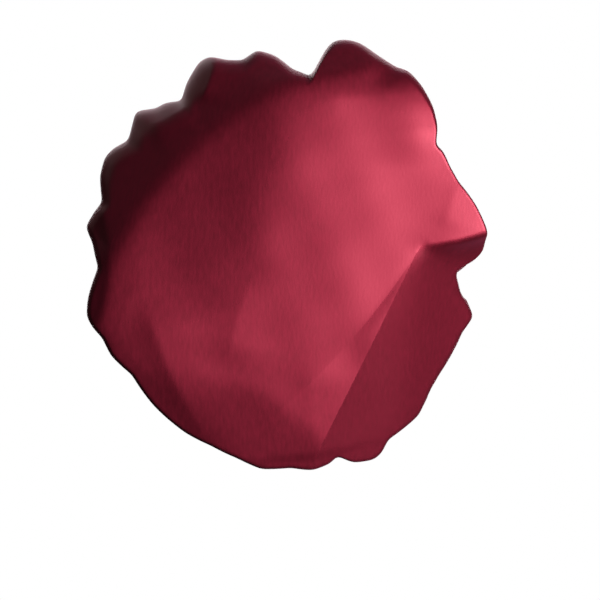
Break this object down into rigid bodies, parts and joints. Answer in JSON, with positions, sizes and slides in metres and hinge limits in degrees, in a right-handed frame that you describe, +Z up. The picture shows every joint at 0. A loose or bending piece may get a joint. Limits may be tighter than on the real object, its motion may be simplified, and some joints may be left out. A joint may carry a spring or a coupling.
{
  "type": "sleep bonnet",
  "caption": "Satin sleep bonnet as worn: a large round crown with soft folds, gathered into a wide elastic head band that goes round the hairline and the nape.",
  "frame": {"origin": "centre of the head opening, in the plane of the band's hem", "axes": "+Z up and -Y the way the wearer faces, so +X is the wearer's left; the opening's plane rises 41 degrees from the nape to the forehead"},
  "size_m": [0.287, 0.2292, 0.3044],
  "materials": {
    "crown_satin": "glossy polyester satin",
    "band_satin": "satin over elastic, a little duller than the crown"
  },
  "bodies": {
    "root": {"crown": "crown_satin", "band": "band_satin"}
  },
  "joints": []
}
